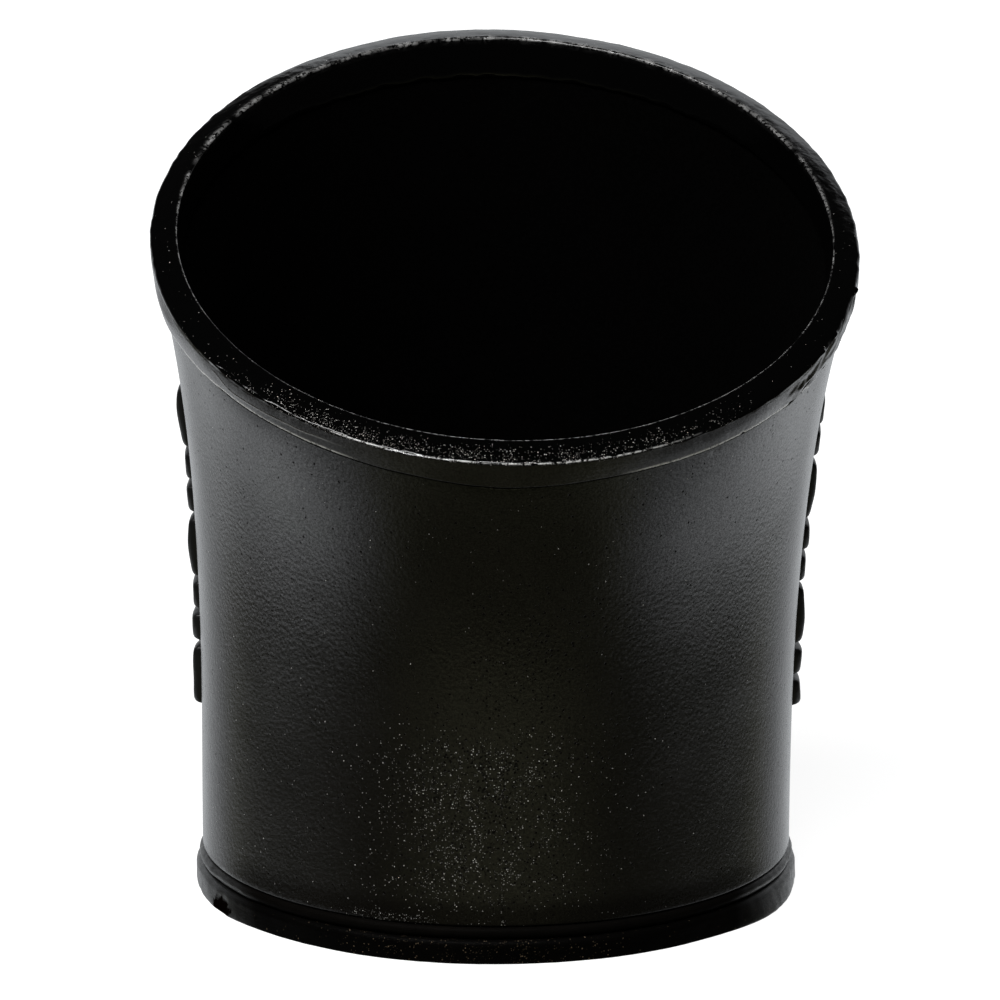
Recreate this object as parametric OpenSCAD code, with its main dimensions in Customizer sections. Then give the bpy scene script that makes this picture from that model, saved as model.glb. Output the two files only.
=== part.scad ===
// Leather dice cup: a leather tube on a leather sole, flaring out to a wide mouth that leans
// towards the front. The wall is three layers, outer leather, board and lining, and a leather
// strip is turned over their edge. The front of the cup is -Y. The origin is the centre of the
// underside, where the cup stands.

/* [Mouth] */
// Outer diameter of the mouth, over the edge binding
mouth_d = 100; // [92:1:108]
// Height of the mouth's centre above the table
mouth_height = 93.3; // [84:0.1:104]
// How far the mouth's plane leans towards the front, in degrees
mouth_lean = 21.5; // [0:0.5:24]
// How far the mouth's plane leans to the right, in degrees
mouth_side_lean = 1.6; // [-3:0.1:3]
// How far the mouth's centre stands to the right of the foot's centre
mouth_shift = 1.3; // [-3:0.1:3]
// Slope of the flat rim, falling outwards, in degrees
rim_slope = 18; // [0:1:25]

/* [Wall] */
// Outer diameter of the wall at its foot
wall_d = 84; // [78:0.5:88]
// How late the wall flares: a higher power keeps it straight for longer
flare_power = 3; // [2:0.1:4]
// How late the wall starts to lean: a higher power keeps it upright for longer
lean_power = 1.4; // [1:0.1:2.5]
// Thickness of the outer leather
sleeve_t = 1.1; // [0.8:0.1:1.4]
// Thickness of the board tube
core_t = 1.3; // [1:0.1:1.8]
// Thickness of the lining leather
lining_t = 0.9; // [0.6:0.1:1.2]
// Width of the butt seam at the front
seam_gap = 0.2; // [0.1:0.05:0.5]
// Where the butt seam stands, in degrees anticlockwise from +X
seam_angle = 271.5; // [260:0.5:280]

/* [Edge binding] */
// Height of the hem that the binding makes outside the mouth
hem_h = 5.2; // [3:0.1:8]
// Thickness of the binding where it lies on the outer leather
hem_t = 0.4; // [0.3:0.1:0.8]
// Height of the lip that the binding makes inside the mouth
inner_lip_h = 4; // [2:0.5:8]
// Thickness of the binding where it lies on the lining
inner_lip_t = 0.35; // [0.25:0.05:0.6]
// Thickness of the binding over the rim
rim_t = 0.6; // [0.4:0.1:1]

/* [Foot] */
// Diameter of the sole disc
sole_d = 85.8; // [80:0.1:90]
// Thickness of the sole disc
sole_t = 3.4; // [2:0.1:4]
// Rounding of the sole disc's upper edge
sole_round = 1; // [0.3:0.1:1]
// Diameter of the welt ring, over its bead
welt_d = 85; // [79:0.1:89]
// Thickness of the welt ring
welt_t = 1.7; // [1.5:0.1:3]
// Width of the welt ring
welt_w = 7; // [5:0.5:9]
// Thickness of the leather on the floor of the cup
floor_t = 1; // [0.8:0.1:2]

/* [Relief] */
// Height of the relief bars above the outer leather
bar_h = 1.3; // [0.6:0.1:1.6]
// Number of cells in the basket weave, from the lowest row to the highest
weave_rows = 5; // [2:1:5]
// Number of cells in the basket weave, round the back of the cup
weave_columns = 14; // [8:1:16]
// Height of the lowest row's lower edge, at the sides
weave_low = 23.6; // [18:0.1:26]
// Height of one cell, at the sides
cell_h = 9.2; // [8:0.1:9.5]
// Gap between neighbouring bars
bar_gap = 0.6; // [0.4:0.1:1]
// Angle between each side of the cup and the first bar behind it, in degrees
weave_margin = 3; // [2:0.5:10]

/* [Hidden] */

// Facets round the wall, rings up it, and rings up each side of the edge binding
around = 64;
rings = 8;
binding_rings = 2;
// Facets round the foot's discs, and round their edges' section
disc_facets = 96;
edge_facets = 32;
// Below 1, the rings stand closer together near the mouth, where the wall bends most
ring_spread = 0.7;
// Bevel of a relief bar's sides, and the glue line that it stands on
bar_bevel = 0.6;
glue_line = 0.1;
// Room between the floor leather and the lining
floor_fit = 0.1;

foot_z = sole_t + welt_t;
wall_h = mouth_height - foot_z;
wall_r = wall_d / 2;
flare = mouth_d / 2 - hem_t - wall_r;
core_depth = sleeve_t;
lining_depth = core_depth + core_t;
cavity_depth = lining_depth + lining_t;
rim_level = 1 - rim_t / wall_h;
board_r = welt_d / 2 - welt_w;
floor_r = (wall_r - cavity_depth) * cos(180 / around) - floor_fit;

// A place on the wall is an angle about Z, a level and a depth. The level is 0 at the wall's foot
// and 1 at the mouth. The depth is measured inwards from the face of the outer leather.
function wall_radius(level) = wall_r + flare * pow(level, flare_power);

function wall_point(angle, level, depth) =
    let(
        lean = pow(level, lean_power),
        rise_x = -tan(mouth_side_lean * lean),
        rise_y = tan(mouth_lean * lean),
        up = [-rise_x, -rise_y, 1] / norm([rise_x, rise_y, 1]),
        slope = rim_slope * pow(level, flare_power),
        reach = wall_radius(level) - depth * cos(slope),
        x = reach * cos(angle),
        y = reach * sin(angle),
        centre = [mouth_shift * lean, 0, foot_z + wall_h * level]
    )
    centre + [x, y, x * rise_x + y * rise_y] + depth * sin(slope) * up;

// Angles round the wall, starting on one side of the seam and ending on the other
half_gap = seam_gap / wall_r * 90 / PI;
angles = [for (i = [0 : around]) seam_angle + half_gap + i * (360 - 2 * half_gap) / around];

// Levels of the rings between two levels
function levels(low, high, count) =
    [for (i = [0 : count]) low + (high - low) * pow(i / count, ring_spread)];

// The two triangles of a four-cornered face
function split(a, b, c, d) = [[a, b, c], [a, c, d]];

// A strip of sheet wrapped once round the cup. Each pair holds a [level, depth] on the sheet's
// outer face and the one behind it on its inner face. A closed strip has no seam.
module wrap(pairs, closed = false) {
    last = len(pairs) - 1;
    points = [for (angle = angles, pair = pairs, place = pair) wall_point(angle, place[0], place[1])];
    function at(column, row, side) = (column * len(pairs) + row) * 2 + side;
    function band(a, b) = concat(
        [for (i = [0 : last - 1]) each split(at(a, i, 0), at(a, i + 1, 0), at(b, i + 1, 0), at(b, i, 0))],
        [for (i = [0 : last - 1]) each split(at(a, i, 1), at(b, i, 1), at(b, i + 1, 1), at(a, i + 1, 1))],
        split(at(a, 0, 0), at(b, 0, 0), at(b, 0, 1), at(a, 0, 1)),
        split(at(b, last, 0), at(a, last, 0), at(a, last, 1), at(b, last, 1))
    );
    function first_end() =
        [for (i = [0 : last - 1]) each split(at(0, i + 1, 0), at(0, i, 0), at(0, i, 1), at(0, i + 1, 1))];
    function last_end() = [
        for (i = [0 : last - 1])
            each split(at(around, i, 0), at(around, i + 1, 0), at(around, i + 1, 1), at(around, i, 1))
    ];
    sides = [for (i = [0 : around - 1]) each band(i, i + 1)];
    polyhedron(points, concat(sides, closed ? band(around, 0) : concat(first_end(), last_end())));
}

// One layer of the wall, between two depths, from the foot to under the binding
module layer(depth, thickness, closed = false) {
    wrap([for (level = levels(0, rim_level, rings)) [[level, depth], [level, depth + thickness]]], closed);
}

// A disc whose upper edge is rounded
module rounded_disc(r, h, edge) {
    rotate_extrude($fn = disc_facets) {
        square([r - edge, h]);
        square([r, h - edge]);
        translate([r - edge, h - edge]) circle(edge, $fn = edge_facets);
    }
}

// A ring whose outer edge is half round
module beaded_ring(inner_r, outer_r, h) {
    rotate_extrude($fn = disc_facets) {
        translate([inner_r, 0]) square([outer_r - h / 2 - inner_r, h]);
        translate([outer_r - h / 2, h / 2]) circle(h / 2, $fn = edge_facets);
    }
}

// One relief bar: a flat-topped bar with bevelled sides, bent to follow the wall
module bar(angle, level, half_angle, half_level) {
    bevel_angle = bar_bevel / wall_r * 180 / PI;
    bevel_level = bar_bevel / wall_h;
    function outline(inset_angle, inset_level, depth) = [
        for (place = [[-1, -1], [0, -1], [1, -1], [1, 1], [0, 1], [-1, 1]])
            wall_point(
                angle + place[0] * (half_angle - inset_angle),
                level + place[1] * (half_level - inset_level),
                depth
            )
    ];
    points = concat(
        outline(0, 0, -glue_line),
        outline(bevel_angle, bevel_level, -glue_line - bar_h)
    );
    faces = concat(
        split(0, 1, 4, 5),
        split(1, 2, 3, 4),
        split(6, 11, 10, 7),
        split(7, 10, 9, 8),
        [for (i = [0 : 5]) each split(i, i + 6, (i + 1) % 6 + 6, (i + 1) % 6)]
    );
    polyhedron(points, faces);
}

// Outer leather, butted at the front
module outer_sleeve() {
    color([0.05, 0.05, 0.05]) layer(0, sleeve_t);
}

// Leather strip turned over the edge of the wall, butted at the front
module edge_binding() {
    hem_level = 1 - hem_h / wall_h;
    lip_level = 1 - inner_lip_h / wall_h;
    outer = levels(hem_level, 1, binding_rings);
    inner = levels(lip_level, 1, binding_rings);
    outer_side = [for (level = outer) [[level, -hem_t], [min(level, rim_level), 0]]];
    inner_side = [
        for (i = [binding_rings : -1 : 0])
            [[inner[i], cavity_depth + inner_lip_t], [min(inner[i], rim_level), cavity_depth]]
    ];
    color([0.03, 0.03, 0.03]) wrap(concat(outer_side, inner_side));
}

// Board tube that stiffens the wall
module wall_core() {
    color([0.45, 0.38, 0.3]) layer(core_depth, core_t, closed = true);
}

// Inner leather
module lining_sleeve() {
    color([0.02, 0.02, 0.02]) layer(lining_depth, lining_t, closed = true);
}

// Basket weave over the back half of the wall: each cell is a pair of bars, and the cells next
// to one with level bars have upright ones
module relief_bars() {
    cell_angle = (180 - 2 * weave_margin) / weave_columns;
    cell_level = cell_h / wall_h;
    half_gap_angle = bar_gap / wall_r * 90 / PI;
    half_gap_level = bar_gap / wall_h / 2;
    color([0.04, 0.04, 0.04])
        for (row = [0 : weave_rows - 1], column = [0 : weave_columns - 1], side = [-1, 1]) {
            upright = (row + column) % 2;
            angle = weave_margin + cell_angle * (column + 0.5);
            level = (weave_low - foot_z) / wall_h + cell_level * (row + 0.5);
            bar(
                angle + upright * side * cell_angle / 4,
                level + (1 - upright) * side * cell_level / 4,
                cell_angle / (2 + 2 * upright) - half_gap_angle,
                cell_level / (4 - 2 * upright) - half_gap_level
            );
        }
}

// Thin leather ring between the wall and the sole, with a half-round edge
module welt_ring() {
    color([0.07, 0.07, 0.07])
        translate([0, 0, sole_t]) beaded_ring(board_r, welt_d / 2, welt_t);
}

// Leather disc that the cup stands on
module sole_disc() {
    color([0.04, 0.04, 0.04]) rounded_disc(sole_d / 2, sole_t, sole_round);
}

// Board disc inside the welt ring
module base_board() {
    color([0.45, 0.38, 0.3]) translate([0, 0, sole_t]) cylinder(h = welt_t, r = board_r, $fn = disc_facets);
}

// Leather disc on the floor of the cup
module floor_lining() {
    color([0.02, 0.02, 0.02]) translate([0, 0, foot_z]) cylinder(h = floor_t, r = floor_r, $fn = disc_facets);
}

outer_sleeve();
edge_binding();
wall_core();
lining_sleeve();
relief_bars();
welt_ring();
sole_disc();
base_board();
floor_lining();
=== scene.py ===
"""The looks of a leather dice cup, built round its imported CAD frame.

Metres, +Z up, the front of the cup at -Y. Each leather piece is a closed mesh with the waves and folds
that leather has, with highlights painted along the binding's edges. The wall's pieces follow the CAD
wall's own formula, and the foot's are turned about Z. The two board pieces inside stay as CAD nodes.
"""
import itertools
import math

import bpy
import numpy as np
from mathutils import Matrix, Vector


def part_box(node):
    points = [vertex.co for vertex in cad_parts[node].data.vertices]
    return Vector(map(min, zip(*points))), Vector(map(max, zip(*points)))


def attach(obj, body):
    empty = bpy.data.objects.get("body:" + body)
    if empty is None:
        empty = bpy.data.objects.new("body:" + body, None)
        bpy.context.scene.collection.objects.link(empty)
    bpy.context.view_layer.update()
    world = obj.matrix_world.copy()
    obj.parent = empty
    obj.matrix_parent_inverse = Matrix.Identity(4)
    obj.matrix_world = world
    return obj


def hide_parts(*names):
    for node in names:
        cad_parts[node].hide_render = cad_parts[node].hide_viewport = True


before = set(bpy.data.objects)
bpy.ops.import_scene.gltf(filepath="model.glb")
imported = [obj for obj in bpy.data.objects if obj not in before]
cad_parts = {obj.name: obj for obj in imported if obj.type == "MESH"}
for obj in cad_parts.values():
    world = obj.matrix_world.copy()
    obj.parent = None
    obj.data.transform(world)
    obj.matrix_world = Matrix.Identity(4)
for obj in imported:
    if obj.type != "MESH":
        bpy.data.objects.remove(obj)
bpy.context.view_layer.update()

MM = 0.001

# ---------------------------------------------------------------- shape of the wall, as in the CAD part
MOUTH_R = 50 * MM
MOUTH_HEIGHT = 93.3 * MM
MOUTH_LEAN = math.radians(21.5)
MOUTH_SIDE_LEAN = math.radians(1.6)
MOUTH_SHIFT = 1.3 * MM
RIM_SLOPE = math.radians(18)
FLARE_POWER = 3
LEAN_POWER = 1.4
SEAM_ANGLE = 271.5
HEM_H = 5.2 * MM
HEM_T = 0.4 * MM
LIP_H = 4 * MM
LIP_T = 0.35 * MM
RIM_T = 0.6 * MM

# Relief: a basket weave round the back, a little higher than in the CAD part so that it shows
WEAVE_ROWS = 5
WEAVE_COLUMNS = 14
WEAVE_MARGIN = 3
WEAVE_LOW = 23.6 * MM
CELL_H = 9.2 * MM
BAR_GAP = 0.6 * MM
BAR_H = 1.6 * MM


def foot_radii(node):
    """The outer and inner radius of a wall layer where it stands, read from the frame."""
    points = np.array([v.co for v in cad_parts[node].data.vertices])
    foot = points[points[:, 2] < points[:, 2].min() + 0.01 * MM]
    radii = np.hypot(foot[:, 0], foot[:, 1])
    return radii.max(), radii.min()


WALL_R, SLEEVE_INNER_R = foot_radii("outer_sleeve")
LINING_R, CAVITY_R = foot_radii("lining_sleeve")
SLEEVE_T = WALL_R - SLEEVE_INNER_R
LINING_DEPTH = WALL_R - LINING_R
CAVITY_DEPTH = WALL_R - CAVITY_R
FOOT_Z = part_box("outer_sleeve")[0].z
WALL_H = MOUTH_HEIGHT - FOOT_Z
FLARE = MOUTH_R - HEM_T - WALL_R


def wall_point(angle, up, out):
    """Points at an angle in degrees, a height up the wall from its foot and a distance out of its face."""
    level = up / WALL_H
    lean = level**LEAN_POWER
    rise_x = -np.tan(MOUTH_SIDE_LEAN * lean)
    rise_y = np.tan(MOUTH_LEAN * lean)
    slope = RIM_SLOPE * level**FLARE_POWER
    reach = WALL_R + FLARE * level**FLARE_POWER + out * np.cos(slope)
    x = reach * np.cos(np.radians(angle))
    y = reach * np.sin(np.radians(angle))
    fall = -out * np.sin(slope) / np.sqrt(rise_x**2 + rise_y**2 + 1)
    return np.stack(
        [
            MOUTH_SHIFT * lean + x - fall * rise_x,
            y - fall * rise_y,
            FOOT_Z + up + x * rise_x + y * rise_y + fall,
        ],
        axis=-1,
    )


# ---------------------------------------------------------------- small tools for shapes
def smoothstep(value, low, high):
    """0 below low and 1 above high, with a smooth rise between; low may be the greater."""
    share = np.clip((value - low) / (high - low), 0, 1)
    return share * share * (3 - 2 * share)


def bell(value, centre, width):
    """A smooth hump of height 1."""
    return np.exp(-(((value - centre) / width) ** 2))


def span(value, start, full, fading, end):
    """0 up to start, 1 from full to fading and 0 again from end."""
    return smoothstep(value, start, full) * smoothstep(value, end, fading)


def humps(turn, places):
    """The sum of humps at (angle, width in degrees, strength) places round the cup."""
    return sum(strength * bell(turn, angle, width) for angle, width, strength in places)


def noise(points, size, seed):
    """Smooth noise between -1 and 1 whose features have the given size."""
    cells = 32
    lattice = np.random.default_rng(seed).uniform(-1, 1, (cells, cells, cells))
    spots = points / size
    cell = np.floor(spots).astype(int)
    share = spots - cell
    share = share * share * (3 - 2 * share)
    total = np.zeros(points.shape[:-1])
    for corner in itertools.product((0, 1), repeat=3):
        x, y, z = np.moveaxis((cell + corner) % cells, -1, 0)
        weights = np.where(corner, share, 1 - share)
        total += weights.prod(axis=-1) * lattice[x, y, z]
    return total


def line(start, end, count):
    """Points of a profile from start up to, but not at, end."""
    share = np.linspace(0, 1, count, endpoint=False)[:, None]
    return np.array(start) * (1 - share) + np.array(end) * share


def arc(centre, radius_out, radius_up, start, end, count):
    """Points of a profile round an ellipse, from one angle in degrees up to, but not at, another."""
    turn = np.radians(np.linspace(start, end, count, endpoint=False))
    return np.array(centre) + np.stack([radius_out * np.cos(turn), radius_up * np.sin(turn)], axis=-1)


def seam_columns(count, gap):
    """Angles from one side of the seam round to the other, crowded beside the seam."""
    share = np.linspace(-1, 1, count)
    crowd = 0.85
    share = (1 - crowd) * share + crowd * np.sin(share * np.pi / 2)
    half_gap = math.degrees(gap / WALL_R) / 2
    return SEAM_ANGLE + 180 + share * (180 - half_gap)


def seam_distance(angles):
    """How far round the wall each angle is from the seam."""
    turn = (angles - SEAM_ANGLE + 180) % 360 - 180
    return np.abs(np.radians(turn)) * WALL_R


def rounded_end(distance, radius):
    """How far a cut edge's face drops within its rounding radius of the cut."""
    inside = np.clip(radius - distance, 0, radius)
    return radius - np.sqrt(radius**2 - inside**2)


def grid_normals(points, closed):
    """Outward normals of a swept grid. Its profile is a loop, and its columns are one if closed."""
    along = np.roll(points, -1, 1) - np.roll(points, 1, 1)
    if closed:
        across = np.roll(points, -1, 0) - np.roll(points, 1, 0)
    else:
        across = np.gradient(points, axis=0)
    normals = np.cross(across, along)
    return normals / np.linalg.norm(normals, axis=-1, keepdims=True)


def displace(points, amount, closed):
    """Moves a swept grid's points along its normals."""
    return points + grid_normals(points, closed) * amount[..., None]


def make_mesh(name, points, faces, **values):
    """A smooth mesh with sharp edges kept. Each named set of values becomes an attribute of its points."""
    mesh = bpy.data.meshes.new(name)
    mesh.from_pydata(points.reshape(-1, 3).tolist(), [], faces)
    mesh.shade_smooth()
    mesh.set_sharp_from_angle(angle=math.radians(55))
    for attribute, amounts in values.items():
        layer = mesh.attributes.new(attribute, "FLOAT", "POINT")
        layer.data.foreach_set("value", amounts.astype(np.float32).ravel())
    return mesh


def swept_faces(columns, rows, closed):
    """Faces of a grid whose rows are a closed profile: quads, and an end face at each end if open."""
    index = np.arange(columns * rows).reshape(columns, rows)
    first = index if closed else index[:-1]
    second = np.roll(index, -1, 0) if closed else index[1:]
    quads = np.stack([first, second, np.roll(second, -1, 1), np.roll(first, -1, 1)], axis=-1)
    faces = quads.reshape(-1, 4).tolist()
    if not closed:
        faces += [index[0].tolist(), index[-1][::-1].tolist()]
    return faces


def swept_mesh(name, points, closed, **values):
    """The closed mesh of a swept grid. Values that are the same along a row or a column are spread out."""
    grid = points.shape[:2]
    spread = {attribute: np.broadcast_to(amounts, grid) for attribute, amounts in values.items()}
    return make_mesh(name, points, swept_faces(*grid, closed), **spread)


def turned_points(profile, columns):
    """A profile of [radius, height] turned about Z."""
    angles = np.linspace(0, 2 * np.pi, columns, endpoint=False)
    radius = profile[None, :, 0]
    x = radius * np.cos(angles)[:, None]
    y = radius * np.sin(angles)[:, None]
    z = np.broadcast_to(profile[None, :, 1], x.shape)
    return np.stack([x, y, z], axis=-1)


def disc_mesh(name, points):
    """The closed mesh of a turned grid, with a flat face round the axis at each end of its profile."""
    columns, rows = points.shape[:2]
    index = np.arange(columns * rows).reshape(columns, rows)
    after = np.roll(index, -1, 0)
    quads = np.stack([index[:, :-1], after[:, :-1], after[:, 1:], index[:, 1:]], axis=-1)
    faces = quads.reshape(-1, 4).tolist()
    faces += [index[::-1, 0].tolist(), index[:, -1].tolist()]
    return make_mesh(name, points, faces)


def add_piece(name, mesh, materials, node):
    """Puts a mesh in the scene as a piece that stands for a CAD node."""
    piece = bpy.data.objects.new(name, mesh)
    bpy.context.scene.collection.objects.link(piece)
    for material in materials:
        mesh.materials.append(material)
    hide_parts(node)
    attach(piece, "root")
    return piece


# ---------------------------------------------------------------- small tools for materials
def add_node(tree, kind, inputs, **fields):
    """Adds a shader node. inputs maps its sockets to values or to other nodes' outputs."""
    node = tree.nodes.new("ShaderNode" + kind)
    for field, value in fields.items():
        setattr(node, field, value)
    for socket, value in inputs.items():
        if isinstance(value, bpy.types.NodeSocket):
            tree.links.new(value, node.inputs[socket])
        else:
            node.inputs[socket].default_value = value
    return node


def calc(tree, operation, *values):
    """A Math node's result."""
    return add_node(tree, "Math", dict(enumerate(values)), operation=operation).outputs[0]


def times(tree, first, second):
    """The product of two values."""
    return calc(tree, "MULTIPLY", first, second)


def fade(tree, value, low, high, start=0.0, end=1.0):
    """start below low, end above high and smooth between; low may be the greater."""
    inputs = {"Value": value, "From Min": low, "From Max": high, "To Min": start, "To Max": end}
    return add_node(tree, "MapRange", inputs, interpolation_type="SMOOTHSTEP").outputs["Result"]


def blend(tree, share, first, second):
    """A colour between two."""
    node = add_node(tree, "Mix", {"Factor": share}, data_type="RGBA")
    for socket, value in ((6, first), (7, second)):
        if isinstance(value, bpy.types.NodeSocket):
            tree.links.new(value, node.inputs[socket])
        else:
            node.inputs[socket].default_value = value
    return node.outputs[2]


def grey(value, warmth=0.0):
    """A dark or pale grey as a colour, with a little more red than blue if warm."""
    return (value * (1 + warmth), value, value * (1 - warmth), 1)


def place(tree, stretch=(1, 1, 1)):
    """Places on the piece in metres, scaled on each axis."""
    spot = add_node(tree, "TexCoord", {}).outputs["Object"]
    if stretch == (1, 1, 1):
        return spot
    return add_node(tree, "Mapping", {"Vector": spot, "Scale": stretch}).outputs["Vector"]


def cloud(tree, spot, size, detail=2.0, rough=0.5):
    """Noise from 0 to 1 with features of the given size."""
    inputs = {"Vector": spot, "Scale": 1 / size, "Detail": detail, "Roughness": rough}
    return add_node(tree, "TexNoise", inputs).outputs["Fac"]


def pebbles(tree, spot, size):
    """Rounded cells of the given size: 0 in each cell's middle, rising to its rim."""
    inputs = {"Vector": spot, "Scale": 1 / size, "Smoothness": 0.6}
    return add_node(tree, "TexVoronoi", inputs, feature="SMOOTH_F1").outputs["Distance"]


def value_of(tree, attribute):
    """The value of a mesh attribute."""
    return add_node(tree, "Attribute", {}, attribute_name=attribute).outputs["Fac"]


def dots(tree, spot, size, share, radius):
    """Small dots of several sizes and strengths: a share of the cells of the given size hold one."""
    cell = add_node(tree, "TexVoronoi", {"Vector": spot, "Scale": 1 / size})
    chance, girth, strength = add_node(tree, "SeparateColor", {"Color": cell.outputs["Color"]}).outputs
    reach = times(tree, fade(tree, girth, 0, 1, 0.3, 1.0), radius)
    near = fade(tree, cell.outputs["Distance"], reach, times(tree, reach, 0.5))
    chosen = calc(tree, "LESS_THAN", chance, share)
    strength = calc(tree, "MULTIPLY_ADD", calc(tree, "POWER", strength, 2.5), 0.85, 0.15)
    return times(tree, times(tree, chosen, near), strength)


def gap_to(tree, spot, point):
    """How far each place is from a point."""
    return add_node(tree, "VectorMath", {0: spot, 1: point}, operation="DISTANCE").outputs["Value"]


def bumps(tree, layers):
    """One normal from several (height, depth in metres) layers, one over another."""
    normal = None
    for height, depth in layers:
        inputs = {"Height": height, "Distance": depth, "Strength": 1.0}
        if normal is not None:
            inputs["Normal"] = normal
        normal = add_node(tree, "Bump", inputs).outputs["Normal"]
    return normal


def surface(name, build):
    """A material whose Principled inputs are what build(tree) returns."""
    material = bpy.data.materials.new(name)
    material.use_nodes = True
    tree = material.node_tree
    tree.nodes.clear()
    shader = add_node(tree, "BsdfPrincipled", build(tree))
    add_node(tree, "OutputMaterial", {"Surface": shader.outputs["BSDF"]})
    return material


# ---------------------------------------------------------------- materials
def sleeve_leather(tree):
    """Black satin leather: pebble grain, dull pores, small pits, and glints painted as pale flecks low on
    the front.
    """
    spot = place(tree)
    painted_glint_share = value_of(tree, "painted_glint_share")
    tone = cloud(tree, spot, 11 * MM, 4)
    grain = pebbles(tree, spot, 0.55 * MM)
    pores = cloud(tree, spot, 0.22 * MM, 2, 0.6)
    gathered = fade(tree, cloud(tree, spot, 4 * MM, 3), 0.38, 0.62, 0.3)
    share = times(tree, painted_glint_share, gathered)
    # Painted glints: pale flecks where the glint share is high, low on the front, along the seam and the
    # foot
    glint_flecks = dots(tree, spot, 0.26 * MM, share, 0.45)
    pitted = calc(tree, "ADD", value_of(tree, "pitted"), times(tree, painted_glint_share, 0.9))
    pits = fade(tree, dots(tree, spot, 0.42 * MM, pitted, 0.55), 0, 0.3)
    gloss = fade(tree, pores, 0.32, 0.68, 0.28, 0.72)
    gloss = times(tree, gloss, fade(tree, pits, 0, 1, 1.0, 0.1))
    # Painted shade: a dark, dull line in the groove just below the hem at the front
    painted_groove_shade = fade(tree, value_of(tree, "painted_groove_shade"), 0.3, 0.7)
    # Painted shade: the gloss is dimmed at the wall's foot in front and in bands below the hem
    gloss = times(tree, gloss, fade(tree, value_of(tree, "painted_gloss_shade"), 0, 1, 1.0, 0.3))
    colour = blend(tree, tone, grey(0.003, 0.15), grey(0.005, 0.2))
    colour = blend(tree, glint_flecks, colour, grey(0.7, 0.03))
    rough = fade(tree, tone, 0.3, 0.7, 0.22, 0.25)
    return {
        "Base Color": blend(tree, painted_groove_shade, colour, grey(0.001)),
        "Roughness": calc(tree, "ADD", rough, times(tree, glint_flecks, 0.3)),
        "Specular IOR Level": times(tree, gloss, fade(tree, painted_groove_shade, 0, 1, 1.0, 0.05)),
        "Normal": bumps(
            tree, [(grain, -0.02 * MM), (pores, 0.012 * MM), (pits, -0.02 * MM), (glint_flecks, 0.02 * MM)]
        ),
    }


def binding_leather(tree):
    """Thin glossy leather pulled over the edge: fine creases round the cup, a highlight painted on its cut
    edge.
    """
    spot = place(tree)
    creases = cloud(tree, place(tree, (0.4, 0.4, 2)), 1.4 * MM, 4, 0.6)
    tone = cloud(tree, spot, 6 * MM, 3)
    grain = pebbles(tree, spot, 0.6 * MM)
    pores = cloud(tree, spot, 0.25 * MM, 2, 0.6)
    broken = fade(tree, cloud(tree, spot, 0.9 * MM, 3, 0.7), 0.3, 0.5)
    # Pale highlights painted along the hem's cut edge and its fold
    worn_and_highlight = times(tree, value_of(tree, "wear"), broken)
    torn = fade(tree, value_of(tree, "torn"), 0.25, 0.75)
    patchy = fade(tree, cloud(tree, spot, 3 * MM, 3), 0.3, 0.6, 0.6)
    # Painted shade: the hem's gloss is dimmed on its upper part at the sides
    painted_hem_shade = times(tree, value_of(tree, "painted_hem_shade"), patchy)
    gloss = fade(tree, pores, 0.32, 0.68, 0.3, 0.7)
    gloss = times(tree, gloss, fade(tree, painted_hem_shade, 0, 1, 1.0, 0.25))
    colour = blend(tree, tone, grey(0.005, 0.15), grey(0.009, 0.2))
    colour = blend(tree, worn_and_highlight, colour, grey(0.85, 0.03))
    return {
        "Base Color": blend(tree, torn, colour, (0.012, 0.006, 0.003, 1)),
        "Roughness": fade(tree, tone, 0.3, 0.7, 0.22, 0.28),
        "Specular IOR Level": times(tree, gloss, fade(tree, torn, 0, 1, 1.0, 0.0)),
        "Normal": bumps(tree, [(creases, 0.04 * MM), (grain, -0.02 * MM), (pores, 0.01 * MM)]),
    }


def edge_paint(tree):
    """Black edge paint over the rim: glossy and gritty, with painted highlights on its corners and painted
    glint specks.
    """
    spot = place(tree)
    grit = cloud(tree, spot, 0.4 * MM, 3, 0.7)
    blobs = pebbles(tree, spot, 0.7 * MM)
    gathered = fade(tree, cloud(tree, spot, 2.5 * MM, 3), 0.4, 0.6, 0.3)
    # Glints painted as pale specks where the rim's glint share is high
    share = times(tree, value_of(tree, "painted_glint_share"), gathered)
    specks = dots(tree, spot, 0.22 * MM, share, 0.5)
    broken = fade(tree, cloud(tree, spot, 0.6 * MM, 3, 0.7), 0.42, 0.56)
    # Pale highlights painted along the rim's outer and inner corners
    worn_and_highlight = times(tree, value_of(tree, "wear"), broken)
    tint = blend(tree, cloud(tree, spot, 1.1 * MM, 2), grey(0.4, 0.15), grey(0.95, 0.01))
    colour = blend(tree, specks, grey(0.001), tint)
    return {
        "Base Color": blend(tree, worn_and_highlight, colour, grey(0.9, 0.01)),
        "Roughness": fade(tree, grit, 0.3, 0.7, 0.06, 0.12),
        "Specular IOR Level": 0.4,
        "Normal": bumps(tree, [(blobs, -0.012 * MM), (grit, 0.01 * MM)]),
    }


def lining_suede(tree):
    """Black suede lining: soft nap, brushed in patches."""
    spot = place(tree)
    brushed = cloud(tree, spot, 9 * MM, 4, 0.6)
    nap = cloud(tree, spot, 0.5 * MM, 4, 0.7)
    return {
        "Base Color": blend(tree, brushed, grey(0.0004), grey(0.0012, 0.05)),
        "Roughness": fade(tree, brushed, 0.3, 0.7, 0.85, 1.0),
        "Specular IOR Level": fade(tree, nap, 0.35, 0.65, 0.005, 0.025),
        "Sheen Weight": 0.002,
        "Sheen Roughness": 0.5,
        "Normal": bumps(tree, [(nap, 0.08 * MM)]),
    }


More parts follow.
